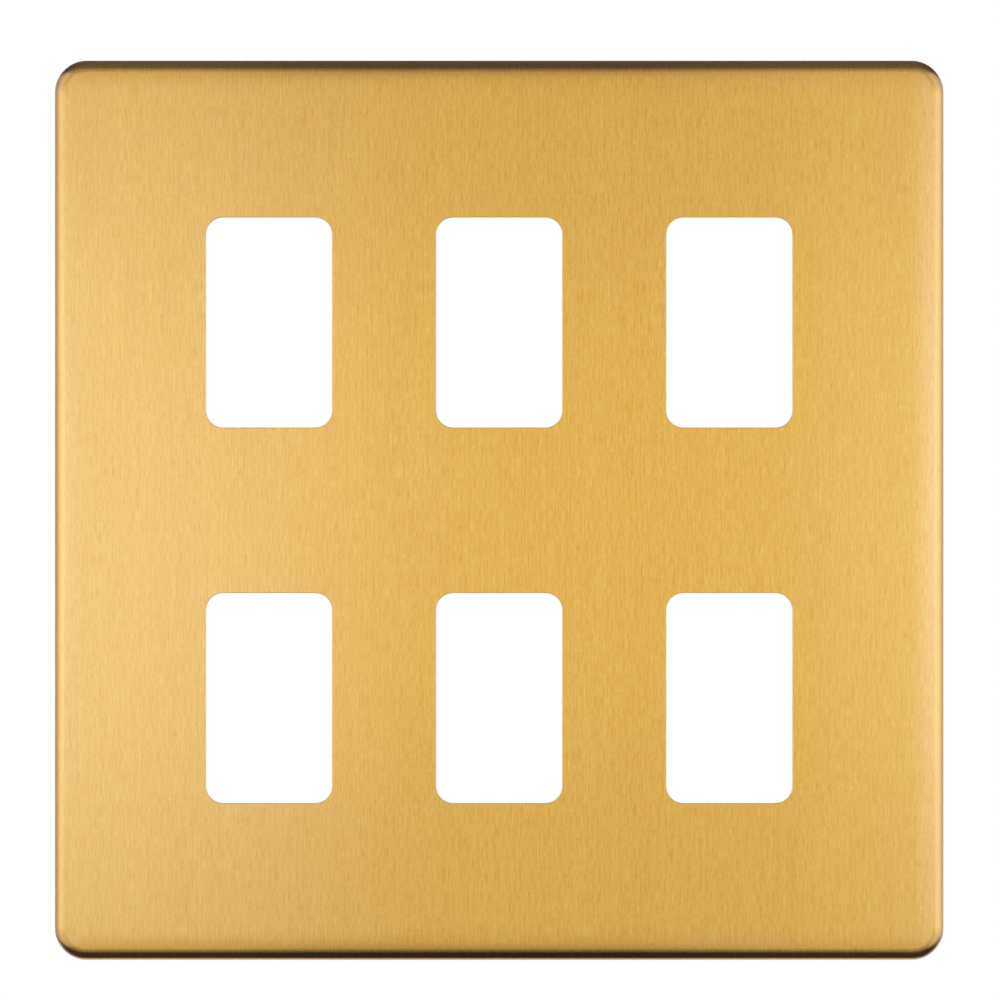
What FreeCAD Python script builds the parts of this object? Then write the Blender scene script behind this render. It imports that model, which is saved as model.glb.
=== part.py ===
import FreeCAD, Part
import math
import os

from FreeCAD import Vector

# Screwless grid switch plate with six windows, in millimetres.
# Each piece is drawn lying on its back: X to the right, Y up the wall and Z
# out into the room, with the wall at Z = 0. stand_up() turns it upright, so
# that its face looks along -Y. The origin is the centre of the fixing screws.

# Grid of modules
COLUMNS = 3
ROWS = 2
COLUMN_PITCH = 38.0
ROW_PITCH = 62.0

# Windows of the cover
WINDOW_WIDTH = 20.8
WINDOW_HEIGHT = 34.7
WINDOW_CORNER = 2.8
WINDOW_EDGE = 0.1

# Yoke, a bent and pierced steel sheet
YOKE_SHEET = 1.2
OPENING_WIDTH = 24.4
OPENING_HEIGHT = 40.0
OPENING_CORNER = 0.8
NOTCH_WIDTH = 12.0
NOTCH_DEPTH = 2.0
RELEASE_WIDTH = 8.0
RELEASE_HEIGHT = 1.4
RELEASE_BRIDGE = 1.5
STILE_WIDTH = 4.3
RAIL_HEIGHT = 7.0
YOKE_CORNER = 3.0
BEND_INSIDE = 0.6
FLANGE_DEPTH = 6.7
FLANGE_CORNER = 1.5
FLANGE_INSET = 6.5
BEND_RELIEF = 1.0
BEAD_LENGTH = 30.0
BEAD_RADIUS = 1.6
BEAD_DEPTH = 1.0
BEAD_RUN_OUT = 3.0

# Fixing ears of the yoke, set back to the wall
FIXING_HEIGHT = 62.0
EAR_TO_SCREW = 5.8
EAR_END = 4.7
EAR_WIDTH = 16.0
EAR_CORNER = 3.0
EAR_TO_FLANGE = 6.0
JOGGLE_RUN = 1.8
SLOT_WIDTH = 3.9
SLOT_LENGTH = 6.0

# Fixing screws, M3.5 x 25
SCREW_RADIUS = 1.75
SCREW_NECK_RADIUS = 1.55
SCREW_LENGTH = 25.0
SCREW_TIP = 0.5
HEAD_RADIUS = 3.25
HEAD_HEIGHT = 2.0
HEAD_BEVEL = 0.7
HEAD_GAP = 0.5
RECESS_RADIUS = 1.9
RECESS_DEPTH = 1.3
RECESS_WIDTH = 0.8
RECESS_TIP_RADIUS = 0.7

# Cover plate, a pressed brass sheet
PLATE_SHEET = 0.8
PLATE_OVERHANG_X = 13.2
PLATE_OVERHANG_Y = 14.4
PLATE_CORNER = 5.3
FACE_ROLL = 2.0
TABS_PER_SIDE = 3
TAB_PITCH = 46.0
TAB_WIDTH = 9.0
TAB_REACH = 1.8
TAB_BEND_INSIDE = 0.4
TAB_RELIEF = 0.8
TAB_RELIEF_HEIGHT = 1.6
PRY_WIDTH = 8.0
PRY_HEIGHT = 1.0

# Clip frame, moulded to fill the back of the cover
CARRIER_GAP = 0.15
WEB_THICKNESS = 1.4
LEDGE_WIDTH = 2.4
TAB_GAP = 0.1
WINDOW_MARGIN = 0.8
RIB_THICKNESS = 1.2
RIB_FROM_ARM = 10.0
EAR_TO_RIB = 6.5
EAR_GAP = 0.6
HEAD_HOLE_MARGIN = 1.2

# Spring arms of the clip frame, and the flange windows that they snap into
ARM_GAP = 0.3
ARM_THICKNESS = 1.3
ARM_WIDTH = 5.0
ARM_SLIT = 1.5
BARB_DEPTH = 1.0
BARB_LAND = 0.7
BARB_SLOPE = 2.0
BARB_PLAY = 0.1
CATCH_FROM_FRONT = 2.9
CATCH_HEIGHT = 2.3
CATCH_SIDE_GAP = 0.7

# Earth terminal, its screw and the leaf that touches the cover
TERMINAL_WIDTH = 8.0
TERMINAL_HEIGHT = 9.0
TERMINAL_DEPTH = 8.0
TERMINAL_EDGE = 0.4
WIRE_HOLE_RADIUS = 2.0
WIRE_HOLE_FROM_TOP = 3.2
SPIGOT_RADIUS = 1.5
SPIGOT_GAP = 0.1
PEEN_RADIUS = 2.4
PEEN_HEIGHT = 0.6
PEEN_BEVEL = 0.4
CLAMP_THREAD_GAP = 0.05
CLAMP_HEAD_RADIUS = 3.0
CLAMP_HEAD_HEIGHT = 2.0
CLAMP_HEAD_BEVEL = 0.4
CLAMP_BACKED_OUT = 1.6
CLAMP_TIP_GAP = 0.3
CLAMP_SLOT_WIDTH = 0.9
CLAMP_SLOT_DEPTH = 1.0
LEAF_SHEET = 0.4
LEAF_WIDTH = 5.0
LEAF_TAIL = 3.5
LEAF_FLAT = 7.0
LEAF_RISE_RUN = 5.0
LEAF_CREST = 3.0
LEAF_TOE_RUN = 2.5
LEAF_TOE_DROP = 0.6
LEAF_BEND = 1.5
LEAF_GAP = 1.1

# Heights this close count as the same, and a slot's round ends leave a straight this short
HAIR = 1e-4

# Sizes that follow: the plate is just deep enough to clear the screw heads
PLATE_DEPTH = YOKE_SHEET + HEAD_HEIGHT + HEAD_GAP + PLATE_SHEET
INSIDE_Z = PLATE_DEPTH - PLATE_SHEET
YOKE_FRONT_Z = INSIDE_Z - WEB_THICKNESS
YOKE_BACK_Z = YOKE_FRONT_Z - YOKE_SHEET
LEDGE_BACK_Z = PLATE_SHEET + TAB_GAP

YOKE_HALF_WIDTH = (COLUMNS - 1) * COLUMN_PITCH / 2 + OPENING_WIDTH / 2 + STILE_WIDTH
YOKE_HALF_HEIGHT = (ROWS - 1) * ROW_PITCH / 2 + OPENING_HEIGHT / 2 + NOTCH_DEPTH + RAIL_HEIGHT
FIXING_X = YOKE_HALF_WIDTH + EAR_TO_SCREW
FIXING_Y = FIXING_HEIGHT / 2
EAR_END_X = FIXING_X + EAR_END
PLATE_WIDTH = 2 * (FIXING_X + PLATE_OVERHANG_X)
PLATE_HEIGHT = 2 * (YOKE_HALF_HEIGHT + PLATE_OVERHANG_Y)
CARRIER_WIDTH = PLATE_WIDTH - 2 * (PLATE_SHEET + CARRIER_GAP)
CARRIER_HEIGHT = PLATE_HEIGHT - 2 * (PLATE_SHEET + CARRIER_GAP)
CARRIER_CORNER = PLATE_CORNER - PLATE_SHEET - CARRIER_GAP

BEND_OUTSIDE = BEND_INSIDE + YOKE_SHEET
FLANGE_END_Z = YOKE_FRONT_Z - FLANGE_DEPTH
TOP_FLANGE_LENGTH = 2 * (YOKE_HALF_WIDTH - FLANGE_INSET)
SIDE_FLANGE_LENGTH = 2 * (FIXING_Y - EAR_WIDTH / 2 - EAR_TO_FLANGE)
CATCH_TOP_Z = YOKE_FRONT_Z - CATCH_FROM_FRONT

TERMINAL_X = COLUMN_PITCH / 2
WIRE_HOLE_Z = YOKE_BACK_Z - WIRE_HOLE_FROM_TOP


def centred(count, pitch):
    """Evenly spaced places, centred on zero."""
    return [(i - (count - 1) / 2) * pitch for i in range(count)]


def grid_places():
    """Centres of the modules."""
    return [(x, y) for y in centred(ROWS, ROW_PITCH) for x in centred(COLUMNS, COLUMN_PITCH)]


def four_sides(half_width, half_height):
    """Turn and distance from the centre of the right, top, left and bottom sides."""
    return [(0, half_width), (90, half_height), (180, half_width), (270, half_height)]


def turned(shape, angle):
    """The shape turned about Z, in degrees."""
    result = shape.copy()
    result.rotate(Vector(0, 0, 0), Vector(0, 0, 1), angle)
    return result


def moved(shape, x=0.0, y=0.0, z=0.0):
    result = shape.copy()
    result.translate(Vector(x, y, z))
    return result


def stand_up(shape):
    """From lying on its back to standing on the wall."""
    result = shape.copy()
    result.rotate(Vector(0, 0, 0), Vector(1, 0, 0), 90)
    return result


def block(width, height, low, high):
    """Box centred on the Z axis, between two heights."""
    return Part.makeBox(width, height, high - low, Vector(-width / 2, -height / 2, low))


def rod(radius, low, high):
    return Part.makeCylinder(radius, high - low, Vector(0, 0, low))


def rounded_slab(width, height, corner, low, high):
    """Slab with rounded plan corners, centred on the Z axis."""
    arcs = []
    for side_x, side_y, start in ((1, 1, 0), (-1, 1, 90), (-1, -1, 180), (1, -1, 270)):
        centre = Vector(side_x * (width / 2 - corner), side_y * (height / 2 - corner), low)
        arcs.append(Part.makeCircle(corner, centre, Vector(0, 0, 1), start, start + 90))
    edges = []
    for arc, following in zip(arcs, arcs[1:] + arcs[:1]):
        edges.append(arc)
        here = arc.valueAt(arc.LastParameter)
        there = following.valueAt(following.FirstParameter)
        edges.append(Part.makeLine(here, there))
    return Part.Face(Part.Wire(edges)).extrude(Vector(0, 0, high - low))


def edges_at_height(shape, z, within=None):
    """Edges that lie flat at a height, and inside a half-width and half-height if given."""
    found = []
    for edge in shape.Edges:
        box = edge.BoundBox
        if abs(box.ZMin - z) > HAIR or abs(box.ZMax - z) > HAIR:
            continue
        if within and (max(abs(box.XMin), abs(box.XMax)) > within[0] or
                       max(abs(box.YMin), abs(box.YMax)) > within[1]):
            continue
        found.append(edge)
    return found


def bent_strip(path, bend, sheet, width):
    """Bent sheet. path is its middle line as (x, z) points, bend the middle line's bend radius."""
    points = [Vector(x, 0, z) for x, z in path]
    runs = [(b - a).normalize() for a, b in zip(points, points[1:])]
    lefts = [Vector(-run.z, 0, run.x) for run in runs]
    sides = []
    for offset in (sheet / 2, -sheet / 2):
        edges = []
        here = points[0] + lefts[0] * offset
        for i in range(1, len(points) - 1):
            turn = math.atan2(lefts[i - 1].dot(runs[i]), runs[i - 1].dot(runs[i]))
            way = math.copysign(1.0, turn)
            setback = bend * math.tan(abs(turn) / 2)
            centre = points[i] - runs[i - 1] * setback + lefts[i - 1] * (bend * way)
            radius = bend * way - offset
            middle = (lefts[i - 1] + lefts[i]).normalize()
            first = centre - lefts[i - 1] * radius
            last = centre - lefts[i] * radius
            edges.append(Part.makeLine(here, first))
            edges.append(Part.Arc(first, centre - middle * radius, last).toShape())
            here = last
        end = points[-1] + lefts[-1] * offset
        edges.append(Part.makeLine(here, end))
        sides.append((edges, points[0] + lefts[0] * offset, end))
    (upper, upper_start, upper_end), (lower, lower_start, lower_end) = sides
    outline = upper + [Part.makeLine(upper_end, lower_end)] + lower[::-1]
    outline.append(Part.makeLine(lower_start, upper_start))
    section = Part.Face(Part.Wire(Part.__sortEdges__(outline)))
    return moved(section.extrude(Vector(0, width, 0)), y=-width / 2)


# Cover plate

def cover_tab(half_size):
    """Retaining tab on the +X side, folded in from the rim."""
    middle = half_size - PLATE_SHEET / 2
    path = [(middle, TAB_RELIEF_HEIGHT + PLATE_SHEET),
            (middle, PLATE_SHEET / 2),
            (half_size - PLATE_SHEET - TAB_REACH, PLATE_SHEET / 2)]
    return bent_strip(path, TAB_BEND_INSIDE + PLATE_SHEET / 2, PLATE_SHEET, TAB_WIDTH)


def rim_gap(half_size, width, height):
    """Cutter for a gap in the rim's wall on the +X side."""
    cutter = block(2 * PLATE_SHEET, width, -PLATE_SHEET, height)
    return moved(cutter, x=half_size - PLATE_SHEET / 2)


def cover_shell():
    outer = rounded_slab(PLATE_WIDTH, PLATE_HEIGHT, PLATE_CORNER, 0, PLATE_DEPTH)
    outer = outer.makeFillet(FACE_ROLL, edges_at_height(outer, PLATE_DEPTH))
    inner = rounded_slab(PLATE_WIDTH - 2 * PLATE_SHEET, PLATE_HEIGHT - 2 * PLATE_SHEET,
                         PLATE_CORNER - PLATE_SHEET, 0, INSIDE_Z)
    inner = inner.makeFillet(FACE_ROLL - PLATE_SHEET, edges_at_height(inner, INSIDE_Z))
    return outer.cut(inner)


def cover_plate():
    shell = cover_shell()
    window = rounded_slab(WINDOW_WIDTH, WINDOW_HEIGHT, WINDOW_CORNER, 0, 2 * PLATE_DEPTH)
    shell = shell.cut([moved(window, x, y) for x, y in grid_places()])
    inside_rolls = (PLATE_WIDTH / 2 - FACE_ROLL - 1, PLATE_HEIGHT / 2 - FACE_ROLL - 1)
    shell = shell.makeFillet(WINDOW_EDGE, edges_at_height(shell, PLATE_DEPTH, inside_rolls))
    gaps = []
    tabs = []
    for angle, half_size in four_sides(PLATE_WIDTH / 2, PLATE_HEIGHT / 2):
        for along in centred(TABS_PER_SIDE, TAB_PITCH):
            gap = rim_gap(half_size, TAB_WIDTH + 2 * TAB_RELIEF, TAB_RELIEF_HEIGHT)
            gaps.append(turned(moved(gap, y=along), angle))
            tabs.append(turned(moved(cover_tab(half_size), y=along), angle))
    for along in centred(TABS_PER_SIDE - 1, TAB_PITCH):
        notch = rim_gap(PLATE_HEIGHT / 2, PRY_WIDTH, PRY_HEIGHT)
        gaps.append(turned(moved(notch, y=along), 270))
    return shell.cut(gaps).fuse(tabs).removeSplitter()


# Clip frame

def snap_arm(half_size):
    """Spring arm on the +X side, with its barb pointing in at the yoke."""
    inside = half_size + ARM_GAP
    catch = CATCH_TOP_Z - BARB_PLAY
    outline = [(inside, YOKE_FRONT_Z + ARM_GAP),
               (inside, catch),
               (inside - BARB_DEPTH, catch),
               (inside - BARB_DEPTH, catch - BARB_LAND),
               (inside + ARM_THICKNESS / 4, catch - BARB_LAND - BARB_SLOPE),
               (inside + ARM_THICKNESS, catch - BARB_LAND - BARB_SLOPE),
               (inside + ARM_THICKNESS, YOKE_FRONT_Z + ARM_GAP)]
    points = [Vector(x, -ARM_WIDTH / 2, z) for x, z in outline]
    return Part.Face(Part.makePolygon(points + points[:1])).extrude(Vector(0, ARM_WIDTH, 0))


def arm_places():
    """Turn, distance from the centre and place along the side of each spring arm."""
    places = []
    for angle, half_size in four_sides(YOKE_HALF_WIDTH, YOKE_HALF_HEIGHT):
        upright_side = angle in (0, 180)
        for along in [0.0] if upright_side else centred(COLUMNS, COLUMN_PITCH):
            places.append((angle, half_size, along))
    return places


def ring(width, height, corner, thickness, low, high):
    """Upright wall that runs round a rounded rectangle, outside it."""
    outer = rounded_slab(width + 2 * thickness, height + 2 * thickness, corner + thickness, low, high)
    return outer.cut(rounded_slab(width, height, corner, low, high))


def rib_between(start, end):
    """Upright rib between two plan points, from the ledge's back up to the web."""
    run = end - start
    rib = block(run.Length, RIB_THICKNESS, LEDGE_BACK_Z, YOKE_FRONT_Z)
    middle = (start + end) * 0.5
    return moved(turned(rib, math.degrees(math.atan2(run.y, run.x))), middle.x, middle.y)


def carrier_ribs():
    """Short ribs that tie the wall round the yoke to the outer ledge."""
    ribs = []
    inner_x = YOKE_HALF_WIDTH + ARM_GAP + ARM_THICKNESS / 2
    inner_y = YOKE_HALF_HEIGHT + ARM_GAP + ARM_THICKNESS / 2
    outer_x = CARRIER_WIDTH / 2 - LEDGE_WIDTH / 2
    outer_y = CARRIER_HEIGHT / 2 - LEDGE_WIDTH / 2
    upper_y = FIXING_Y + EAR_WIDTH / 2 + EAR_TO_RIB
    for side in (-1, 1):
        for y in (-upper_y, -RIB_FROM_ARM, RIB_FROM_ARM, upper_y):
            ribs.append(rib_between(Vector(side * inner_x, y, 0), Vector(side * outer_x, y, 0)))
        for column in centred(COLUMNS, COLUMN_PITCH):
            for x in (column - RIB_FROM_ARM, column + RIB_FROM_ARM):
                ribs.append(rib_between(Vector(x, side * inner_y, 0), Vector(x, side * outer_y, 0)))
    inset = YOKE_CORNER * (1 - math.sqrt(0.5))
    for side_x in (-1, 1):
        for side_y in (-1, 1):
            start = Vector(side_x * (inner_x - inset), side_y * (inner_y - inset), 0)
            end = Vector(side_x * (outer_x - inset), side_y * (outer_y - inset), 0)
            ribs.append(rib_between(start, end))
    return ribs


def clip_frame():
    web = rounded_slab(CARRIER_WIDTH, CARRIER_HEIGHT, CARRIER_CORNER, LEDGE_BACK_Z, INSIDE_Z)
    web = web.makeChamfer(FACE_ROLL - PLATE_SHEET, edges_at_height(web, INSIDE_Z))
    hollow = rounded_slab(CARRIER_WIDTH - 2 * LEDGE_WIDTH, CARRIER_HEIGHT - 2 * LEDGE_WIDTH,
                          CARRIER_CORNER, LEDGE_BACK_Z, YOKE_FRONT_Z)
    web = web.cut(hollow)

    wall = ring(2 * (YOKE_HALF_WIDTH + ARM_GAP), 2 * (YOKE_HALF_HEIGHT + ARM_GAP), YOKE_CORNER,
                ARM_THICKNESS, LEDGE_BACK_Z, YOKE_FRONT_Z)
    breaks = []
    for angle, half_size, along in arm_places():
        gap = block(4 * ARM_THICKNESS, ARM_WIDTH + 2 * ARM_SLIT, 0, YOKE_FRONT_Z)
        breaks.append(turned(moved(gap, half_size + ARM_THICKNESS, along), angle))
    for y in (-FIXING_Y, FIXING_Y):
        breaks.append(moved(block(2 * EAR_END_X, EAR_WIDTH + 2 * EAR_GAP, 0, YOKE_FRONT_Z), y=y))
    wall = wall.cut(breaks)

    frame = web.fuse([wall] + carrier_ribs())
    arms = [turned(moved(snap_arm(half_size), y=along), angle)
            for angle, half_size, along in arm_places()]
    frame = frame.fuse(arms)

    window = rounded_slab(WINDOW_WIDTH + 2 * WINDOW_MARGIN, WINDOW_HEIGHT + 2 * WINDOW_MARGIN,
                          WINDOW_CORNER + WINDOW_MARGIN, 0, PLATE_DEPTH)
    holes = [moved(window, x, y) for x, y in grid_places()]
    head_hole = rod(HEAD_RADIUS + HEAD_HOLE_MARGIN, 0, PLATE_DEPTH)
    holes += [moved(head_hole, x, y) for x, y in fixing_places()]
    holes.append(leaf_window())
    return frame.cut(holes).removeSplitter()


def leaf_window():
    """Cutter for the hole through which the earth leaf reaches the cover."""
    leaf = earth_leaf().BoundBox
    head_end = TERMINAL_X + max(LEAF_TAIL, PEEN_RADIUS)
    width = head_end - leaf.XMin + 2 * LEAF_GAP
    cutter = rounded_slab(width, LEAF_WIDTH + 2 * LEAF_GAP, LEAF_GAP, 0, PLATE_DEPTH)
    return moved(cutter, x=(head_end + leaf.XMin) / 2)


# Grid yoke

def yoke_flange(half_size, length):
    """Return flange on the +X side, bent back into the box, with rounded free corners."""
    middle = half_size - YOKE_SHEET / 2
    flat = YOKE_FRONT_Z - YOKE_SHEET / 2
    path = [(half_size - 2 * BEND_OUTSIDE, flat), (middle, flat), (middle, FLANGE_END_Z)]
    strip = bent_strip(path, BEND_INSIDE + YOKE_SHEET / 2, YOKE_SHEET, length)
    corners = [edge for edge in strip.Edges
               if abs(edge.BoundBox.ZMax - FLANGE_END_Z) < HAIR
               and edge.BoundBox.YLength < HAIR]
    return strip.makeFillet(FLANGE_CORNER, corners)


def yoke_ear():
    """Fixing ear on the +X side, joggled back to the wall."""
    flat = YOKE_FRONT_Z - YOKE_SHEET / 2
    bend = BEND_INSIDE + YOKE_SHEET / 2
    path = [(YOKE_HALF_WIDTH - 2 * BEND_OUTSIDE, flat),
            (YOKE_HALF_WIDTH, flat),
            (YOKE_HALF_WIDTH + JOGGLE_RUN, YOKE_SHEET / 2),
            (EAR_END_X, YOKE_SHEET / 2)]
    strip = bent_strip(path, bend, YOKE_SHEET, EAR_WIDTH)
    outline = rounded_slab(2 * EAR_END_X, EAR_WIDTH, EAR_CORNER, -PLATE_DEPTH, PLATE_DEPTH)
    slot = rounded_slab(SLOT_LENGTH, SLOT_WIDTH, SLOT_WIDTH / 2 - HAIR, -PLATE_DEPTH, PLATE_DEPTH)
    return strip.common(outline).cut(moved(slot, x=FIXING_X))


def yoke_bead():
    """Pressed groove and the ridge behind it, as a cutter and an added solid; both run out at the ends."""
    centre = YOKE_FRONT_Z + BEAD_RADIUS - BEAD_DEPTH
    shapes = []
    for radius in (BEAD_RADIUS, BEAD_RADIUS + YOKE_SHEET):
        bar = Part.makeCylinder(radius, BEAD_LENGTH, Vector(0, -BEAD_LENGTH / 2, centre), Vector(0, 1, 0))
        ends = [Part.makeCone(radius, radius - BEAD_DEPTH, BEAD_RUN_OUT,
                              Vector(0, way * BEAD_LENGTH / 2, centre), Vector(0, way, 0))
                for way in (-1, 1)]
        shapes.append(bar.fuse(ends))
    groove, ridge = shapes
    behind = block(8 * BEAD_RADIUS, 2 * BEAD_LENGTH, -PLATE_DEPTH, YOKE_BACK_Z + YOKE_SHEET / 2)
    return groove, ridge.common(behind)


def yoke_holes():
    """Cutters for the module openings, their latch notches and release slots."""
    cutters = []
    for x, y in grid_places():
        opening = rounded_slab(OPENING_WIDTH, OPENING_HEIGHT, OPENING_CORNER, 0, PLATE_DEPTH)
        notch = block(NOTCH_WIDTH, OPENING_HEIGHT + 2 * NOTCH_DEPTH, 0, PLATE_DEPTH)
        round_end = RELEASE_HEIGHT / 2 - HAIR
        release = rounded_slab(RELEASE_WIDTH, RELEASE_HEIGHT, round_end, 0, PLATE_DEPTH)
        inward = -math.copysign(1.0, y)
        reach = OPENING_HEIGHT / 2 + NOTCH_DEPTH + RELEASE_BRIDGE + RELEASE_HEIGHT / 2
        cutters += [moved(opening, x, y), moved(notch, x, y), moved(release, x, y + inward * reach)]
    return cutters


def grid_yoke():
    sheet = rounded_slab(2 * YOKE_HALF_WIDTH, 2 * YOKE_HALF_HEIGHT, YOKE_CORNER, YOKE_BACK_Z, YOKE_FRONT_Z)
    reliefs = []
    flanges = []
    for angle, half_size in four_sides(YOKE_HALF_WIDTH, YOKE_HALF_HEIGHT):
        length = SIDE_FLANGE_LENGTH if angle in (0, 180) else TOP_FLANGE_LENGTH
        relief = block(2 * BEND_OUTSIDE, length + 2 * BEND_RELIEF, 0, PLATE_DEPTH)
        reliefs.append(turned(moved(relief, x=half_size), angle))
        flanges.append(turned(yoke_flange(half_size, length), angle))
    ears = [turned(moved(yoke_ear(), y=y), angle)
            for angle in (0, 180) for y in (-FIXING_Y, FIXING_Y)]
    yoke = sheet.cut(reliefs).fuse(flanges + ears)

    holes = yoke_holes()
    holes.append(moved(rod(SPIGOT_RADIUS + SPIGOT_GAP, 0, PLATE_DEPTH), x=TERMINAL_X))
    for angle, half_size, along in arm_places():
        catch_width = ARM_WIDTH + 2 * CATCH_SIDE_GAP
        catch = block(4 * YOKE_SHEET, catch_width, CATCH_TOP_Z - CATCH_HEIGHT, CATCH_TOP_Z)
        holes.append(turned(moved(catch, half_size, along), angle))
    yoke = yoke.cut(holes)

    groove, ridge = yoke_bead()
    places = [(x, y) for x in centred(COLUMNS - 1, COLUMN_PITCH) for y in centred(ROWS, ROW_PITCH)]
    yoke = yoke.fuse([moved(ridge, x, y) for x, y in places])
    return yoke.cut([moved(groove, x, y) for x, y in places]).removeSplitter()


# Screws

def fixing_places():
    return [(x, y) for x in (-FIXING_X, FIXING_X) for y in (-FIXING_Y, FIXING_Y)]


def cross_recess(top):
    """Cutter for a driver's cross, narrowing towards its tip."""
    low = top - RECESS_DEPTH
    cross = block(2 * RECESS_RADIUS, RECESS_WIDTH, low, top)
    cross = cross.fuse(block(RECESS_WIDTH, 2 * RECESS_RADIUS, low, top))
    cone = Part.makeCone(RECESS_TIP_RADIUS, RECESS_RADIUS, RECESS_DEPTH, Vector(0, 0, low))
    return cross.common(cone)


def fixing_screw():
    """Pan head screw: a neck passes the ear, and the threaded length starts behind it."""
    seat = YOKE_SHEET
    top = seat + HEAD_HEIGHT
    head = rod(HEAD_RADIUS, seat, top)
    head = head.makeChamfer(HEAD_BEVEL, edges_at_height(head, top)).cut(cross_recess(top))
    neck = rod(SCREW_NECK_RADIUS, -SCREW_TIP, seat)
    shank = rod(SCREW_RADIUS, seat - SCREW_LENGTH, 0)
    shank = shank.makeChamfer(SCREW_TIP, edges_at_height(shank, seat - SCREW_LENGTH))
    return head.fuse([neck, shank]).removeSplitter()


# Earthing

def earth_terminal():
    """Pillar block behind the yoke, riveted through yoke and leaf by its own spigot."""
    back = YOKE_BACK_Z - TERMINAL_DEPTH
    body = block(TERMINAL_WIDTH, TERMINAL_HEIGHT, back, YOKE_BACK_Z)
    body = body.makeChamfer(TERMINAL_EDGE, body.Edges)
    leaf_front = YOKE_FRONT_Z + LEAF_SHEET
    spigot = rod(SPIGOT_RADIUS, YOKE_BACK_Z - TERMINAL_EDGE, leaf_front)
    peen = rod(PEEN_RADIUS, leaf_front, leaf_front + PEEN_HEIGHT)
    peen = peen.makeChamfer(PEEN_BEVEL, edges_at_height(peen, leaf_front + PEEN_HEIGHT))
    wire_hole = Part.makeCylinder(WIRE_HOLE_RADIUS, 2 * TERMINAL_HEIGHT,
                                  Vector(0, -TERMINAL_HEIGHT, WIRE_HOLE_Z), Vector(0, 1, 0))
    clamp_hole = rod(SCREW_RADIUS + CLAMP_THREAD_GAP, back, WIRE_HOLE_Z)
    block_with_holes = body.fuse([spigot, peen]).cut([wire_hole, clamp_hole])
    return moved(block_with_holes.removeSplitter(), x=TERMINAL_X)


def earth_screw():
    """Clamp screw of the terminal, backed out so that the wire hole is open."""
    seat = YOKE_BACK_Z - TERMINAL_DEPTH - CLAMP_BACKED_OUT
    tip = WIRE_HOLE_Z - WIRE_HOLE_RADIUS - CLAMP_TIP_GAP
    low = seat - CLAMP_HEAD_HEIGHT
    head = rod(CLAMP_HEAD_RADIUS, low, seat)
    head = head.makeChamfer(CLAMP_HEAD_BEVEL, edges_at_height(head, low))
    slot = block(3 * CLAMP_HEAD_RADIUS, CLAMP_SLOT_WIDTH, low, low + CLAMP_SLOT_DEPTH)
    shank = rod(SCREW_RADIUS, seat, tip)
    shank = shank.makeChamfer(SCREW_TIP, edges_at_height(shank, tip))
    return moved(head.cut(slot).fuse(shank).removeSplitter(), x=TERMINAL_X)


def earth_leaf():
    """Spring leaf on the yoke's face, whose crest presses on the back of the cover."""
    flat = YOKE_FRONT_Z + LEAF_SHEET / 2
    crest = INSIDE_Z - LEAF_SHEET / 2
    x = TERMINAL_X + LEAF_TAIL
    path = [(x, flat)]
    x = TERMINAL_X - LEAF_FLAT
    path.append((x, flat))
    x -= LEAF_RISE_RUN
    path.append((x, crest))
    x -= LEAF_CREST
    path.append((x, crest))
    x -= LEAF_TOE_RUN
    path.append((x, crest - LEAF_TOE_DROP))
    leaf = bent_strip(path, LEAF_BEND, LEAF_SHEET, LEAF_WIDTH)
    hole = moved(rod(SPIGOT_RADIUS + SPIGOT_GAP, 0, PLATE_DEPTH), x=TERMINAL_X)
    return leaf.cut(hole)


def pieces():
    """Every piece by its name, lying on its back."""
    result = {
        "cover_plate": cover_plate(),
        "clip_frame": clip_frame(),
        "grid_yoke": grid_yoke(),
        "earth_terminal": earth_terminal(),
        "earth_screw": earth_screw(),
        "earth_leaf": earth_leaf(),
    }
    for x, y in fixing_places():
        level = "upper" if y > 0 else "lower"
        side = "right" if x > 0 else "left"
        result["fixing_screw_%s_%s" % (level, side)] = moved(fixing_screw(), x, y)
    return result


os.makedirs("parts", exist_ok=True)
for name, shape in pieces().items():
    stand_up(shape).exportStep("parts/%s.step" % name)
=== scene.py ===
import math

import bmesh
import bpy
from mathutils import Matrix, Vector


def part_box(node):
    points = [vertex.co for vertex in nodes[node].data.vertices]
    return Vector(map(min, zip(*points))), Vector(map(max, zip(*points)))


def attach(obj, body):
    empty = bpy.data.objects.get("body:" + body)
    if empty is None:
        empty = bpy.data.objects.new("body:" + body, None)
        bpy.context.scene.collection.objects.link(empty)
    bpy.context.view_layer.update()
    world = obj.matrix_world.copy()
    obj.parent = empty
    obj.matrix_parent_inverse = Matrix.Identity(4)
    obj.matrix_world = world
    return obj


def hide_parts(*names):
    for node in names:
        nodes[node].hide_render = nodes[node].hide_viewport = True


MM = 0.001

# The camera stands straight in front, its frame this wide at the plate's face.
FRAME_WIDTH = 165.08 * MM
FRAME_CENTRE_X = 0.13 * MM
FRAME_CENTRE_Z = 1.70 * MM
LENS = 200.0
SENSOR = 36.0

# The rolled M3.5 thread, and where it starts on the screws.
THREAD_ROOT = 1.42 * MM
THREAD_CREST = 1.75 * MM
THREAD_PITCH = 0.6 * MM
TIP_RADIUS = 1.1 * MM
TIP_LENGTH = 0.3 * MM
WALL_PLANE = 0.0
FIXING_SKIRT = 1.6 * MM
EARTH_HEAD = 2.0 * MM

FLOOR_Z = -0.200
FLOOR_RADIUS = 0.45
FLOOR_FADE = (0.16, 0.42)

# The light wall stands behind the camera.
WALL_Y = -1.25
WALL_HALF_WIDTH = 1.3
WALL_HALF_HEIGHT = 0.55
WALL_FULL_LEVEL = 4

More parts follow.
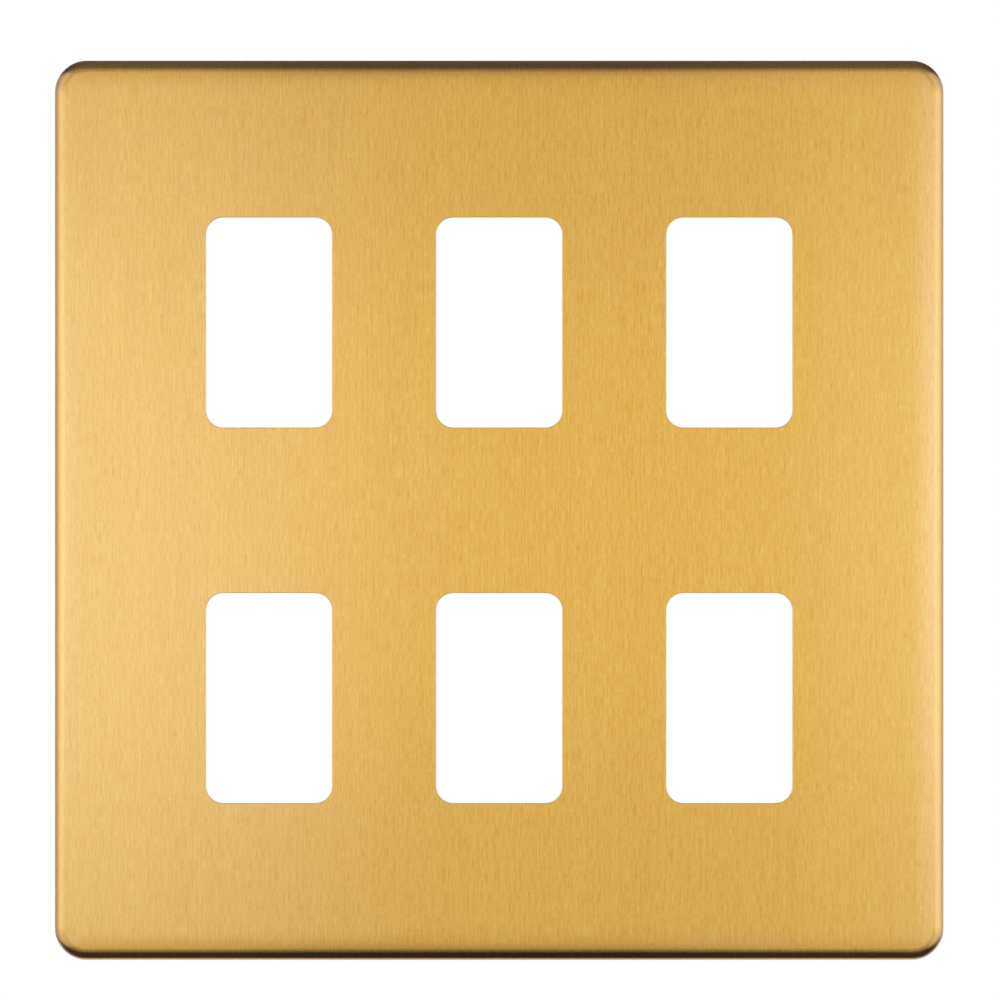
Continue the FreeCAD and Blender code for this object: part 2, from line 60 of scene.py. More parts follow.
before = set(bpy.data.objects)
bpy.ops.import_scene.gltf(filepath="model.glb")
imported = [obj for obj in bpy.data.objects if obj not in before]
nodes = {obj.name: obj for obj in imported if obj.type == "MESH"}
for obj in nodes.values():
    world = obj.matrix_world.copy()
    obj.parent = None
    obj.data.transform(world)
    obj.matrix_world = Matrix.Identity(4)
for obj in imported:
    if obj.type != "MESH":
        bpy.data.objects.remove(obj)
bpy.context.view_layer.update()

cover_low, cover_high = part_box("cover_plate")
FACE_Y = cover_low.y
HALF_WIDTH = cover_high.x
HALF_HEIGHT = cover_high.z
EARTH_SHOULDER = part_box("earth_screw")[1].y - EARTH_HEAD

# How far in from the cover's outline the face starts to fall, and what part of that is curved.
FALL_RUN = 6.0 * MM
FALL_CURVED = 0.667
# Back from the face, where the sheet's inner finish starts and is full.
INNER_SIDE = (FACE_Y + 0.3 * MM, FACE_Y + 0.6 * MM)
# Up the cover, where the painted shade in the middles of the top and bottom lips and the painted
# sheen at their ends start and are full; across it, where the first gives way to the second.
LIP_PAINTED_SHADE_RISE = (HALF_HEIGHT - 3.3 * MM, HALF_HEIGHT - 1.7 * MM)
LIP_ENDS_PAINTED_SHEEN_RISE = (HALF_HEIGHT - 5.9 * MM, HALF_HEIGHT - 1.9 * MM)
MIDDLE_TO_ENDS = (15.0 * MM, 60.0 * MM)
# Where two painted tones come in and go out: painted shade above and below the windows, painted
# light beside them.
PAINTED_SHADE_UP = (20.0 * MM, 60.0 * MM)
PAINTED_SHADE_ACROSS = (62.0 * MM, 30.0 * MM)
PAINTED_LIGHT_ACROSS = (40.0 * MM, 66.0 * MM)
PAINTED_LIGHT_UP = (62.0 * MM, 30.0 * MM)

# Through the yoke's sheet, where its sheared edges start, and where they go from torn to burnished.
YOKE_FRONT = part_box("grid_yoke")[0].y
SHEARED = (YOKE_FRONT + 1.25 * MM, YOKE_FRONT + 1.15 * MM)
TORN = (YOKE_FRONT + 0.62 * MM, YOKE_FRONT + 0.74 * MM)


class Nodes:
    """A material's node tree with short calls for the nodes used here."""

    def __init__(self, name):
        self.material = bpy.data.materials.new(name)
        self.material.use_nodes = True
        self.tree = self.material.node_tree
        self.tree.nodes.clear()
        self.output = self.tree.nodes.new("ShaderNodeOutputMaterial")

    def put(self, socket, value):
        if isinstance(value, bpy.types.NodeSocket):
            self.tree.links.new(value, socket)
        elif value is not None:
            socket.default_value = value

    def math(self, operation, a, b=None, c=None):
        node = self.tree.nodes.new("ShaderNodeMath")
        node.operation = operation
        for socket, value in zip(node.inputs, (a, b, c)):
            self.put(socket, value)
        return node.outputs[0]

    def vector(self, operation, a, b=None):
        node = self.tree.nodes.new("ShaderNodeVectorMath")
        node.operation = operation
        self.put(node.inputs[0], a)
        self.put(node.inputs[1], b)
        return node.outputs[0]

    def split(self, vector):
        node = self.tree.nodes.new("ShaderNodeSeparateXYZ")
        self.put(node.inputs[0], vector)
        return node.outputs[0], node.outputs[1], node.outputs[2]

    def join(self, x=0.0, y=0.0, z=0.0):
        node = self.tree.nodes.new("ShaderNodeCombineXYZ")
        for socket, value in zip(node.inputs, (x, y, z)):
            self.put(socket, value)
        return node.outputs[0]

    def place(self):
        return self.tree.nodes.new("ShaderNodeTexCoord").outputs["Object"]

    def normal(self):
        return self.tree.nodes.new("ShaderNodeNewGeometry").outputs["Normal"]

    def noise(self, vector, scale=1.0, detail=2.0, roughness=0.5):
        node = self.tree.nodes.new("ShaderNodeTexNoise")
        self.put(node.inputs["Vector"], vector)
        node.inputs["Scale"].default_value = scale
        node.inputs["Detail"].default_value = detail
        node.inputs["Roughness"].default_value = roughness
        return node.outputs[0]

    def cells(self, vector, scale):
        node = self.tree.nodes.new("ShaderNodeTexVoronoi")
        self.put(node.inputs["Vector"], vector)
        node.inputs["Scale"].default_value = scale
        return node.outputs["Distance"], node.outputs["Color"]

    def between(self, value, low, high, smooth=True):
        node = self.tree.nodes.new("ShaderNodeMapRange")
        node.interpolation_type = "SMOOTHSTEP" if smooth else "LINEAR"
        self.put(node.inputs["Value"], value)
        node.inputs["From Min"].default_value = low
        node.inputs["From Max"].default_value = high
        return node.outputs[0]

    def mix(self, factor, a, b):
        node = self.tree.nodes.new("ShaderNodeMix")
        node.data_type = "RGBA"
        self.put(node.inputs[0], factor)
        for socket, value in ((node.inputs[6], a), (node.inputs[7], b)):
            self.put(socket, (*value, 1.0) if isinstance(value, tuple) else value)
        return node.outputs[2]

    def brighten(self, colour, amount):
        node = self.tree.nodes.new("ShaderNodeVectorMath")
        node.operation = "SCALE"
        self.put(node.inputs[0], colour)
        self.put(node.inputs["Scale"], amount)
        return node.outputs[0]

    def bump(self, height, distance, under=None):
        node = self.tree.nodes.new("ShaderNodeBump")
        node.inputs["Strength"].default_value = 1.0
        node.inputs["Distance"].default_value = distance
        self.put(node.inputs["Height"], height)
        self.put(node.inputs["Normal"], under)
        return node.outputs[0]

    def surface(self, **sockets):
        shader = self.tree.nodes.new("ShaderNodeBsdfPrincipled")
        for name, value in sockets.items():
            socket = shader.inputs[name.replace("_", " ")]
            self.put(socket, (*value, 1.0) if isinstance(value, tuple) else value)
        self.put(self.output.inputs["Surface"], shader.outputs[0])
        return self.material

    def centred_sum(self, *weighted):
        """One plus each pattern's swing about its middle, times its weight."""
        total = 1.0
        for pattern, weight in weighted:
            total = self.math("MULTIPLY_ADD", pattern, weight, self.math("ADD", total, -weight / 2))
        return total


def grain_axes(mat):
    """Distances across and along an upright grain that carries on round the rolled edges."""
    x, y, z = mat.split(mat.place())
    nx, ny, nz = mat.split(mat.normal())
    run = []
    for place, slope in ((x, nx), (z, nz)):
        turned = mat.math("MULTIPLY", slope, mat.math("ABSOLUTE", slope))
        run.append(mat.math("SUBTRACT", place, mat.math("MULTIPLY", y, turned)))
    return run[0], run[1]


def streaks(mat, across, along, width, length, detail=2.0):
    """Noise drawn out into streaks of about this width and length."""
    u = mat.math("MULTIPLY", across, 1.0 / (2 * width))
    v = mat.math("MULTIPLY", along, 1.0 / (2 * length))
    return mat.noise(mat.join(u, v, 0.0), detail=detail)


def edge_fall(mat, x, z):
    """The face falls a little before each rolled edge: first in a curve, then straight."""
    falls = []
    for place, half in ((x, HALF_WIDTH), (z, HALF_HEIGHT)):
        run = mat.math("SUBTRACT", mat.math("ABSOLUTE", place), half - FALL_RUN)
        run = mat.math("MAXIMUM", mat.math("MULTIPLY", run, 1.0 / FALL_RUN), 0.0)
        curved = mat.math("MINIMUM", run, FALL_CURVED)
        end_slope = 3 * FALL_CURVED ** 2
        straight = mat.math("MULTIPLY", mat.math("SUBTRACT", run, curved), end_slope)
        falls.append(mat.math("ADD", mat.math("POWER", curved, 3.0), straight))
    return mat.math("MULTIPLY", mat.math("ADD", falls[0], falls[1]), -1.0)


def brushed_brass():
    """Upright brush grain under a clear lacquer."""
    mat = Nodes("brushed_brass")
    x, y, z = mat.split(mat.place())
    nx, ny, nz = mat.split(mat.normal())
    across, along = grain_axes(mat)
    fleck = streaks(mat, across, along, 0.10 * MM, 0.30 * MM, detail=0.0)
    nick = streaks(mat, across, along, 0.10 * MM, 0.90 * MM, detail=0.0)
    short = streaks(mat, across, along, 0.12 * MM, 2.4 * MM, detail=1.0)
    long = streaks(mat, across, along, 0.20 * MM, 12.0 * MM)
    broad = streaks(mat, across, along, 5.0 * MM, 90.0 * MM, detail=1.0)
    hue = streaks(mat, across, along, 0.55 * MM, 1.6 * MM, detail=1.0)
    tint = mat.mix(hue, (0.822, 0.495, 0.0985), (0.812, 0.502, 0.1005))
    spots, spot_colour = mat.cells(mat.place(), 70.0)
    chosen = mat.between(mat.split(spot_colour)[0], 0.6, 0.62)
    speck = mat.math("MULTIPLY", mat.between(spots, 0.016, 0.008), chosen)
    grain = mat.centred_sum((fleck, 0.15), (nick, 0.24), (short, 0.30), (long, 0.17), (broad, 0.05))
    # Light that bounces twice in a groove comes out deeper in colour: blue falls most, and red least.
    parts = [mat.math("MULTIPLY_ADD", grain, share, 1.0 - share) for share in (0.62, 1.35, 3.20)]
    parts[2] = mat.math("MAXIMUM", parts[2], 0.1)
    colour = mat.vector("MULTIPLY", tint, mat.join(*parts))
    colour = mat.brighten(colour, mat.math("MULTIPLY_ADD", speck, -0.3, 1.0))
    # The sheet's inner face keeps its duller mill finish.
    inner = mat.math("MULTIPLY", mat.between(ny, 0.3, 0.7), mat.between(y, *INNER_SIDE))
    colour = mat.mix(inner, colour, mat.brighten(colour, 0.72))
    # The press tool burnishes the rolled edge smoother. Its colour holds painted reflection and shade:
    # a paler painted sheen along the sides, painted shade at the corners and where they turn in from
    # the face; on the top and bottom lips, where the grain ends, painted shade in the middles and a
    # paler painted sheen at the ends.
    roll = mat.between(ny, -0.997, -0.93)
    sideways = mat.math("MULTIPLY", nx, nx)
    upward = mat.math("MULTIPLY_ADD", nz, nz, 0.0001)
    side_share = mat.math("DIVIDE", sideways, mat.math("ADD", sideways, upward))
    end_share = mat.math("SUBTRACT", 1.0, side_share)
    side_painted_sheen = mat.math("MULTIPLY", roll, side_share)
    grain_end = mat.math("MULTIPLY", roll, end_share)
    corner_share = mat.math("MULTIPLY", mat.math("MULTIPLY", side_share, end_share), 4.0)
    widened = mat.math("POWER", corner_share, 0.6)
    corner = mat.math("MULTIPLY", mat.between(ny, -0.93, -0.76), widened)
    bend_painted_shade = mat.math("MULTIPLY", mat.between(ny, -0.999, -0.985), corner_share)
    out_x, out_z = mat.math("ABSOLUTE", x), mat.math("ABSOLUTE", z)
    ends = mat.between(out_x, *MIDDLE_TO_ENDS)
    lip_painted_shade = mat.math("MULTIPLY", mat.between(out_z, *LIP_PAINTED_SHADE_RISE), mat.math("SUBTRACT", 1.0, ends))
    pale = mat.math("MULTIPLY", mat.between(out_z, *LIP_ENDS_PAINTED_SHEEN_RISE), ends)
    # Painted shade above and below the windows, darker towards the top and bottom, and painted light
    # beside them.
    deep = mat.math("MULTIPLY", mat.between(out_z, *PAINTED_SHADE_UP), mat.between(out_x, *PAINTED_SHADE_ACROSS))
    painted_light_beside = mat.math("MULTIPLY", mat.between(out_x, *PAINTED_LIGHT_ACROSS), mat.between(out_z, *PAINTED_LIGHT_UP))
    colour = mat.mix(deep, colour, mat.vector("MULTIPLY", colour, (0.965, 0.95, 1.03)))
    colour = mat.mix(painted_light_beside, colour, mat.vector("MULTIPLY", colour, (1.01, 1.03, 1.00)))
    # Painted shade and painted sheen of the lips, the corners and the sides go into the colour here.
    colour = mat.mix(lip_painted_shade, colour, mat.vector("MULTIPLY", colour, (0.86, 0.77, 0.93)))
    colour = mat.mix(pale, colour, mat.vector("MULTIPLY", colour, (1.05, 1.04, 1.28)))
    colour = mat.mix(bend_painted_shade, colour, mat.vector("MULTIPLY", colour, (0.97, 0.96, 0.74)))
    colour = mat.mix(corner, colour, mat.vector("MULTIPLY", colour, (0.70, 0.60, 0.60)))
    colour = mat.mix(side_painted_sheen, colour, mat.vector("MULTIPLY", colour, (0.92, 0.94, 1.28)))
    roughness = mat.math("MULTIPLY_ADD", short, 0.08, mat.math("MULTIPLY_ADD", inner, -0.06, 0.53))
    roughness = mat.math("MULTIPLY_ADD", roll, -0.20, roughness)
    roughness = mat.math("MULTIPLY_ADD", grain_end, -0.05, roughness)
    height = mat.math("ADD", mat.math("MULTIPLY", short, 0.5), mat.math("MULTIPLY", long, 0.5))
    crown = mat.bump(edge_fall(mat, x, z), 0.30 * MM)
    fine = mat.bump(height, 0.004 * MM, under=crown)
    tangent = mat.vector("CROSS_PRODUCT", mat.normal(), (0.0, 0.02, 1.0))
    return mat.surface(
        Base_Color=colour, Metallic=1.0, Roughness=roughness, Anisotropic=0.8, Normal=fine,
        Tangent=tangent, Coat_Weight=1.0, Coat_IOR=1.70, Coat_Roughness=0.13, Coat_Normal=crown,
    )


def black_moulding():
    """Spark-finished moulding with faint flow marks and a little dust."""
    mat = Nodes("black_moulding")
    place = mat.place()
    pits = mat.cells(place, 2600.0)[0]
    spark = mat.math("MULTIPLY_ADD", mat.noise(place, 5200.0, 2.0), 0.6, pits)
    flow = mat.noise(place, 60.0, 3.0)
    dust = mat.between(mat.noise(place, 900.0, 3.0), 0.62, 0.74)
    colour = mat.mix(flow, (0.014, 0.014, 0.015), (0.027, 0.027, 0.028))
    colour = mat.mix(mat.math("MULTIPLY", dust, 0.35), colour, (0.060, 0.060, 0.058))
    roughness = mat.math("MULTIPLY_ADD", flow, 0.20, mat.math("MULTIPLY_ADD", spark, 0.12, 0.32))
    return mat.surface(
        Base_Color=colour, Roughness=roughness, Specular_IOR_Level=0.45,
        Normal=mat.bump(spark, 0.022 * MM),
    )


def zinc_sheet():
    """Bright zinc plate over rolled strip, with the sheared edges of the punched openings."""
    mat = Nodes("zinc_plated_sheet")
    place = mat.place()
    y = mat.split(place)[1]
    ny = mat.split(mat.normal())[1]
    cloud = mat.noise(place, 55.0, 3.0, 0.6)
    spangle = mat.noise(place, 900.0, 2.0)
    rolled = mat.noise(mat.vector("MULTIPLY", place, (96.0, 3200.0, 3200.0)), detail=1.0)
    colour = mat.mix(cloud, (0.50, 0.52, 0.55), (0.64, 0.65, 0.66))
    colour = mat.brighten(colour, mat.centred_sum((spangle, 0.12), (rolled, 0.16)))
    roughness = mat.math("MULTIPLY_ADD", cloud, 0.16, mat.math("MULTIPLY_ADD", rolled, 0.12, 0.20))
    # The edges of the flat sheet: a burnished band from the punch, then a dull torn one.
    upright = mat.between(mat.math("ABSOLUTE", ny), 0.45, 0.25)
    edge = mat.math("MULTIPLY", upright, mat.between(y, *SHEARED))
    drag = mat.noise(mat.vector("MULTIPLY", place, (5500.0, 260.0, 5500.0)), detail=1.0)
    depth = mat.math("MULTIPLY_ADD", mat.noise(place, 420.0, 1.0), 0.35 * MM, y)
    torn = mat.math("MULTIPLY", edge, mat.between(depth, *TORN))
    colour = mat.mix(edge, colour, mat.brighten(colour, mat.centred_sum((drag, 0.35))))
    colour = mat.mix(torn, colour, mat.brighten(colour, 0.62))
    roughness = mat.math("MULTIPLY_ADD", torn, 0.24, mat.math("MULTIPLY_ADD", edge, 0.06, roughness))
    height = mat.math("ADD", rolled, mat.math("MULTIPLY", spangle, 0.5))
    height = mat.math("MULTIPLY_ADD", mat.math("MULTIPLY", drag, torn), 3.0, height)
    return mat.surface(
        Base_Color=colour, Metallic=1.0, Roughness=roughness, Anisotropic=0.3,
        Normal=mat.bump(height, 0.0025 * MM),
    )


def zinc_screw():
    """Bright zinc plate over a cold-headed screw, with faint rings about its axis."""
    mat = Nodes("zinc_plated_screw")
    place = mat.place()
    x, y, z = mat.split(place)
    cloud = mat.noise(place, 55.0, 3.0, 0.6)
    spangle = mat.noise(place, 900.0, 2.0)
    radius = mat.math("SQRT", mat.math("ADD", mat.math("MULTIPLY", x, x), mat.math("MULTIPLY", z, z)))
    rings = mat.noise(mat.vector("MULTIPLY", mat.join(radius, y, 0.0), (5200.0, 5200.0, 0.0)), detail=1.0)
    colour = mat.mix(cloud, (0.52, 0.52, 0.53), (0.66, 0.66, 0.65))
    colour = mat.brighten(colour, mat.centred_sum((spangle, 0.12), (rings, 0.16)))
    roughness = mat.math("MULTIPLY_ADD", cloud, 0.16, mat.math("MULTIPLY_ADD", rings, 0.12, 0.20))
    height = mat.math("ADD", rings, mat.math("MULTIPLY", spangle, 0.5))
    return mat.surface(
        Base_Color=colour, Metallic=1.0, Roughness=roughness, Anisotropic=0.3,
        Normal=mat.bump(height, 0.0025 * MM),
    )


def turned_brass():
    """Drawn brass bar as machined, faintly stained."""
    mat = Nodes("turned_brass")
    place = mat.place()
    drawn = mat.noise(mat.vector("MULTIPLY", place, (3500.0, 3500.0, 120.0)), detail=2.0)
    stain = mat.noise(place, 300.0, 3.0)
    colour = mat.mix(stain, (0.62, 0.40, 0.12), (0.78, 0.55, 0.20))
    colour = mat.brighten(colour, mat.centred_sum((drawn, 0.18)))
    roughness = mat.math("MULTIPLY_ADD", drawn, 0.15, 0.22)
    return mat.surface(
        Base_Color=colour, Metallic=1.0, Roughness=roughness, Normal=mat.bump(drawn, 0.003 * MM),
    )


def spring_bronze():
    """Rolled bronze strip, faintly stained."""
    mat = Nodes("spring_bronze")
    place = mat.place()
    rolled = mat.noise(mat.vector("MULTIPLY", place, (140.0, 900.0, 4200.0)), detail=2.0)
    stain = mat.noise(place, 260.0, 3.0)
    colour = mat.mix(stain, (0.55, 0.27, 0.12), (0.68, 0.37, 0.18))
    colour = mat.brighten(colour, mat.centred_sum((rolled, 0.2)))
    roughness = mat.math("MULTIPLY_ADD", rolled, 0.14, 0.22)
    return mat.surface(
        Base_Color=colour, Metallic=1.0, Roughness=roughness, Normal=mat.bump(rolled, 0.003 * MM),
    )


BRASS = brushed_brass()
BLACK = black_moulding()
ZINC_SHEET = zinc_sheet()
ZINC_SCREW = zinc_screw()
TURNED = turned_brass()
BRONZE = spring_bronze()


def dress(piece, material):
    piece.data.materials.clear()
    piece.data.materials.append(material)


dress(nodes["cover_plate"], BRASS)
dress(nodes["clip_frame"], BLACK)
dress(nodes["grid_yoke"], ZINC_SHEET)
dress(nodes["earth_terminal"], TURNED)
dress(nodes["earth_leaf"], BRONZE)


def thread_faces(bm, start, end, root, crest, pitch, segments=40, rows=8):
    """A single-start thread from start to end along Y, with a level ring at each end."""
    length = end - start
    turns = int(math.ceil(length / pitch)) + 1
    step = pitch / rows
    run_in, run_out = 1.2 * pitch, 2.0 * pitch
    # One pitch of the thread's form, from the root up to the crest and back.
    profile = [0.0, 0.42, 0.84, 1.0, 1.0, 0.84, 0.42, 0.0]
    grid = []
    for row in range(-rows, turns * rows + 1):
        line = []
        for segment in range(segments):
            y = start + row * step + segment / segments * pitch
            inside = min(max(y, start), end)
            fade = min(1.0, (inside - start) / run_in, (end - inside) / run_out)
            radius = root + (crest - root) * profile[row % rows] * max(0.0, fade)
            if y <= start or y >= end:
                radius = root
            angle = 2 * math.pi * segment / segments
            line.append(bm.verts.new((radius * math.cos(angle), inside, radius * math.sin(angle))))
        grid.append(line)
    for row in range(len(grid) - 1):
        for segment in range(segments):
            following = segment + 1
            a = grid[row][segment]
            d = grid[row + 1][segment]
            if following < segments:
                b = grid[row][following]
                c = grid[row + 1][following]
            elif row + rows + 1 < len(grid):
                b = grid[row + rows][0]
                c = grid[row + rows + 1][0]
            else:
                continue
            bm.faces.new((a, b, c, d))


def smooth(mesh, angle=32.0):
    for polygon in mesh.polygons:
        polygon.use_smooth = True
    mesh.set_sharp_from_angle(angle=math.radians(angle))


def threaded_mesh(node, shoulder, way, skirt):
    """The head as the solid has it, on a rolled M3.5 thread that starts at the shoulder.

    way is +1 where the thread runs towards +Y from the shoulder, and -1 where it runs back. Points
    of the shoulder that lie outside the skirt radius belong to the plain shank and go with it.
    """
    low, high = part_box(node)
    middle = (low + high) / 2
    tip = (high.y if way > 0 else low.y) * way
    bm = bmesh.new()
    bm.from_mesh(nodes[node].data)
    bmesh.ops.translate(bm, vec=(-middle.x, 0.0, -middle.z), verts=bm.verts)
    near = 0.01 * MM
    shank = [v for v in bm.verts if (v.co.y - shoulder) * way > near]
    bmesh.ops.delete(bm, geom=shank, context="VERTS")
    if skirt:
        beyond = [v for v in bm.verts if (v.co.y - shoulder) * way > -near]
        step = [v for v in beyond if math.hypot(v.co.x, v.co.z) > skirt]
        bmesh.ops.delete(bm, geom=step, context="VERTS")
    thread = bmesh.new()
    overlap = 0.05 * MM
    thread_faces(
        thread, shoulder * way - overlap, tip - TIP_LENGTH, THREAD_ROOT, THREAD_CREST, THREAD_PITCH,
    )
    bmesh.ops.create_cone(
        thread, cap_ends=True, segments=40, radius1=THREAD_ROOT, radius2=TIP_RADIUS, depth=TIP_LENGTH,
        matrix=Matrix.Translation((0, tip - TIP_LENGTH / 2, 0)) @ Matrix.Rotation(-math.pi / 2, 4, "X"),
    )
    if way < 0:
        bmesh.ops.rotate(thread, verts=thread.verts, matrix=Matrix.Rotation(math.pi, 3, "Z"))
    part = bpy.data.meshes.new("thread")
    thread.to_mesh(part)
    thread.free()
    bm.from_mesh(part)
    bpy.data.meshes.remove(part)
    bmesh.ops.remove_doubles(bm, verts=bm.verts, dist=0.001 * MM)
    bmesh.ops.dissolve_degenerate(bm, edges=bm.edges, dist=0.0005 * MM)
    bmesh.ops.recalc_face_normals(bm, faces=bm.faces)
    mesh = bpy.data.meshes.new("threaded_" + node)
    bm.to_mesh(mesh)
    bm.free()
    mesh.materials.clear()
    mesh.materials.append(ZINC_SCREW)
    smooth(mesh)
    return mesh


def set_screw(node, mesh, turn):
    """A threaded screw in the place of the plain one, turned about its own axis."""
    low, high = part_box(node)
    piece = bpy.data.objects.new("threaded_" + node, mesh)
    bpy.context.scene.collection.objects.link(piece)
    piece.location = ((low.x + high.x) / 2, 0.0, (low.z + high.z) / 2)
    piece.rotation_euler = (0.0, math.radians(turn), 0.0)
    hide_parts(node)
    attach(piece, "root")


fixing_screw = threaded_mesh("fixing_screw_upper_left", WALL_PLANE, 1, FIXING_SKIRT)
TURNS = {"upper_left": 14.0, "upper_right": -31.0, "lower_left": 52.0, "lower_right": 5.0}
for place, turn in TURNS.items():
    set_screw("fixing_screw_" + place, fixing_screw, turn)
set_screw("earth_screw", threaded_mesh("earth_screw", EARTH_SHOULDER, -1, None), 24.0)


def plain_floor():
    """A pale floor under the part that runs out into the white background."""
    bm = bmesh.new()
    bmesh.ops.create_circle(
        bm, cap_ends=True, segments=96, radius=FLOOR_RADIUS, matrix=Matrix.Translation((0, 0, FLOOR_Z)),
    )
    mesh = bpy.data.meshes.new("floor")
    bm.to_mesh(mesh)
    bm.free()
    floor = bpy.data.objects.new("floor", mesh)
    bpy.context.scene.collection.objects.link(floor)
    mat = Nodes("pale_floor")
    x, y, _ = mat.split(mat.place())
    far = mat.math("SQRT", mat.math("ADD", mat.math("MULTIPLY", x, x), mat.math("MULTIPLY", y, y)))
    diffuse = mat.tree.nodes.new("ShaderNodeBsdfDiffuse")
    diffuse.inputs["Color"].default_value = (0.90, 0.90, 0.90, 1.0)
    glow = mat.tree.nodes.new("ShaderNodeEmission")
    glow.inputs["Color"].default_value = (1.0, 1.0, 1.0, 1.0)
    glow.inputs["Strength"].default_value = 1.0
    blend = mat.tree.nodes.new("ShaderNodeMixShader")
    mat.put(blend.inputs[0], mat.between(far, *FLOOR_FADE))
    mat.put(blend.inputs[1], diffuse.outputs[0])
    mat.put(blend.inputs[2], glow.outputs[0])
    mat.put(mat.output.inputs["Surface"], blend.outputs[0])
    mesh.materials.append(mat.material)


def white_world():
    """Full white to the camera and in reflections, and seven tenths of it as soft light."""
    world = bpy.data.worlds.new("studio")
    bpy.context.scene.world = world
    world.use_nodes = True
    tree = world.node_tree
    tree.nodes.clear()
    output = tree.nodes.new("ShaderNodeOutputWorld")
    background = tree.nodes.new("ShaderNodeBackground")
    background.inputs["Color"].default_value = (1.0, 1.0, 1.0, 1.0)
    paths = tree.nodes.new("ShaderNodeLightPath")
    shown = None
    for name in ("Is Camera Ray", "Is Glossy Ray", "Is Transmission Ray"):
        if shown is None:
            shown = paths.outputs[name]
            continue
        either = tree.nodes.new("ShaderNodeMath")
        either.operation = "MAXIMUM"
        tree.links.new(shown, either.inputs[0])
        tree.links.new(paths.outputs[name], either.inputs[1])
        shown = either.outputs[0]
    level = tree.nodes.new("ShaderNodeMapRange")
    level.inputs["To Min"].default_value = 0.7
    level.inputs["To Max"].default_value = 1.0
    tree.links.new(shown, level.inputs["Value"])
    tree.links.new(level.outputs[0], background.inputs["Strength"])
    tree.links.new(background.outputs[0], output.inputs["Surface"])


def softbox(name, place, aim, width, height, radiance):
    lamp = bpy.data.lights.new(name, "AREA")
    lamp.shape = "RECTANGLE"
    lamp.size = width
    lamp.size_y = height
    lamp.energy = radiance * math.pi * width * height
    holder = bpy.data.objects.new(name, lamp)
    bpy.context.scene.collection.objects.link(holder)
    holder.location = place
    holder.rotation_euler = (Vector(aim) - Vector(place)).to_track_quat("-Z", "Y").to_euler()
    holder.visible_camera = False


def light_wall():
    """A lit screen behind the camera, brightest to its left and right, that the face reflects."""
    bm = bmesh.new()
    spread = Matrix.Diagonal((WALL_HALF_WIDTH, WALL_HALF_HEIGHT, 1.0, 1.0))
    stand = Matrix.Translation((0.0, WALL_Y, 0.0)) @ Matrix.Rotation(math.radians(90), 4, "X")
    bmesh.ops.create_grid(bm, x_segments=2, y_segments=2, size=1.0, matrix=stand @ spread)
    mesh = bpy.data.meshes.new("light_wall")
    bm.to_mesh(mesh)
    bm.free()
    wall = bpy.data.objects.new("light_wall", mesh)
    bpy.context.scene.collection.objects.link(wall)
    mat = Nodes("light_wall")
    x, _, z = mat.split(mat.place())
    ramp = mat.tree.nodes.new("ShaderNodeValToRGB")
    mat.put(ramp.inputs[0], mat.between(x, -WALL_HALF_WIDTH, WALL_HALF_WIDTH, smooth=False))
    stops = ramp.color_ramp.elements
    levels = (
        (-1.30, 3.0), (-0.50, 3.1), (-0.26, 2.3), (-0.17, 2.2), (-0.12, 1.75), (-0.097, 1.55),
        (-0.055, 0.85), (-0.040, 0.05), (0.125, 0.05), (0.155, 0.90), (0.245, 2.4), (0.34, 2.8),
        (0.60, 2.9), (1.30, 3.0),
    )
    stops[0].position, stops[1].position = 0.0, 1.0
    for index, (place, level) in enumerate(levels):
        at = (place + WALL_HALF_WIDTH) / (2 * WALL_HALF_WIDTH)
        if index in (0, len(levels) - 1):
            stop = stops[0 if index == 0 else len(stops) - 1]
        else:
            stop = stops.new(at)
        grey = level / WALL_FULL_LEVEL
        stop.color = (grey, grey, grey, 1.0)
    # Its ends are lower screens; to the left of the middle the light sits a little below centre.
    middle_height, end_height = 0.19, 0.155
    near = mat.between(mat.math("ABSOLUTE", x), 0.32, 0.18)
    steep = mat.math("MULTIPLY_ADD", near, 1 / middle_height - 1 / end_height, 1 / end_height)
    left = mat.math("MULTIPLY_ADD", mat.between(x, -0.10, 0.10), -0.10, 0.10)
    low_left = mat.math("MULTIPLY", near, left)
    off_centre = mat.math("MULTIPLY_ADD", z, steep, low_left)
    squared = mat.math("MULTIPLY", off_centre, off_centre)
    fade = mat.math("POWER", math.e, mat.math("MULTIPLY", squared, -1.0))
    glow = mat.tree.nodes.new("ShaderNodeEmission")
    mat.put(glow.inputs["Color"], ramp.outputs[0])
    mat.put(glow.inputs["Strength"], mat.math("MULTIPLY_ADD", fade, 3.5, 0.8))
    mat.put(mat.output.inputs["Surface"], glow.outputs[0])
    mesh.materials.append(mat.material)
    wall.visible_camera = False


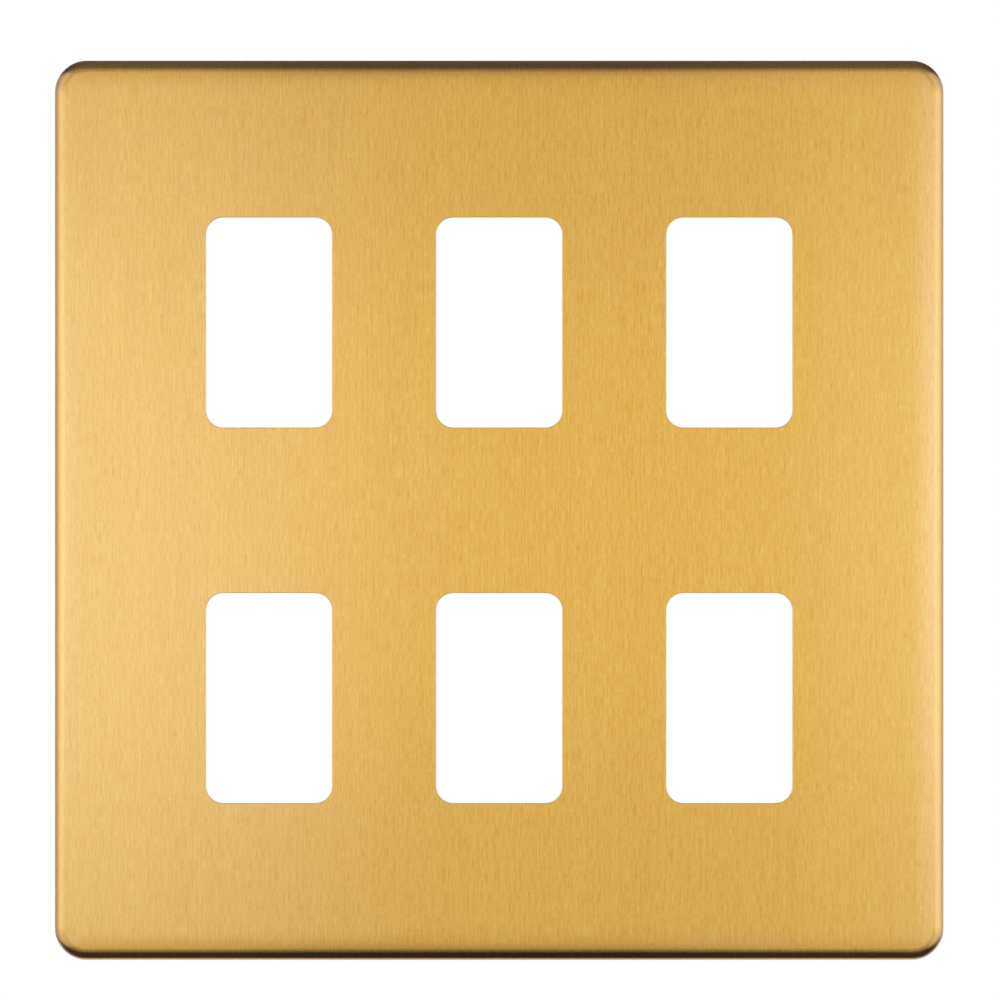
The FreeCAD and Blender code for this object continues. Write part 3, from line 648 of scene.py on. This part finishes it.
def studio_card(name, half_outline, level, tone, upright=False):
    """A studio card out of the camera's sight: the rolled edges reflect it.

    The outline is given for one side, as distance from the middle and depth, and mirrored.
    """
    outline = [(-wide, deep) for wide, deep in half_outline]
    outline += [(wide, deep) for wide, deep in reversed(half_outline)]
    corners = [(level, deep, wide) if upright else (wide, deep, level) for wide, deep in outline]
    bm = bmesh.new()
    bm.faces.new([bm.verts.new(corner) for corner in corners])
    mesh = bpy.data.meshes.new(name)
    bm.to_mesh(mesh)
    bm.free()
    card = bpy.data.objects.new(name, mesh)
    bpy.context.scene.collection.objects.link(card)
    mat = Nodes(name)
    cloth = mat.tree.nodes.new("ShaderNodeBsdfDiffuse")
    cloth.inputs["Color"].default_value = (*tone, 1.0)
    mat.put(mat.output.inputs["Surface"], cloth.outputs[0])
    mesh.materials.append(mat.material)
    card.visible_camera = False
    card.visible_shadow = False
    card.visible_diffuse = False


plain_floor()
white_world()
light_wall()
CARD_ABOVE = (
    (0.110, -0.95), (0.125, -0.60), (0.150, -0.24), (0.190, 0.00), (0.280, 0.14), (0.500, 0.28),
    (0.500, 0.70), (0.280, 0.37), (0.190, 0.27), (0.085, 0.25),
)
CARD_BELOW = (
    (0.110, -1.00), (0.130, -0.62), (0.150, -0.26), (0.190, -0.06), (0.280, 0.03), (0.460, 0.12),
    (0.460, 0.22), (0.280, 0.12), (0.190, 0.085), (0.085, 0.06),
)
CARD_LEFT = ((0.05, 0.00), (0.10, 0.00), (0.16, 0.05), (0.16, 0.45))
CARD_RIGHT = ((0.05, 0.05), (0.10, 0.05), (0.16, 0.08), (0.16, 0.45))
studio_card("card_above", CARD_ABOVE, 0.195, (0.180, 0.159, 0.174))
studio_card("card_below", CARD_BELOW, -0.195, (0.054, 0.046, 0.050))
studio_card("card_left", CARD_LEFT, -0.22, (0.62, 0.53, 0.60), upright=True)
studio_card("card_right", CARD_RIGHT, 0.22, (0.72, 0.65, 0.70), upright=True)
softbox("softbox_left", (-1.05, -0.35, 0.0), (0.0, -0.35, 0.0), 1.00, 0.50, 0.25)
softbox("softbox_right", (1.10, -0.50, 0.0), (0.0, -0.40, 0.0), 1.00, 0.50, 0.34)


def straight_camera():
    data = bpy.data.cameras.new("camera")
    data.lens = LENS
    data.sensor_width = SENSOR
    data.clip_start = 0.01
    data.clip_end = 50.0
    camera = bpy.data.objects.new("camera", data)
    bpy.context.scene.collection.objects.link(camera)
    away = FRAME_WIDTH * LENS / SENSOR
    camera.location = (FRAME_CENTRE_X, FACE_Y - away, FRAME_CENTRE_Z)
    camera.rotation_euler = (math.radians(90), 0, 0)
    bpy.context.scene.camera = camera


straight_camera()
bpy.context.scene.view_settings.view_transform = "Standard"
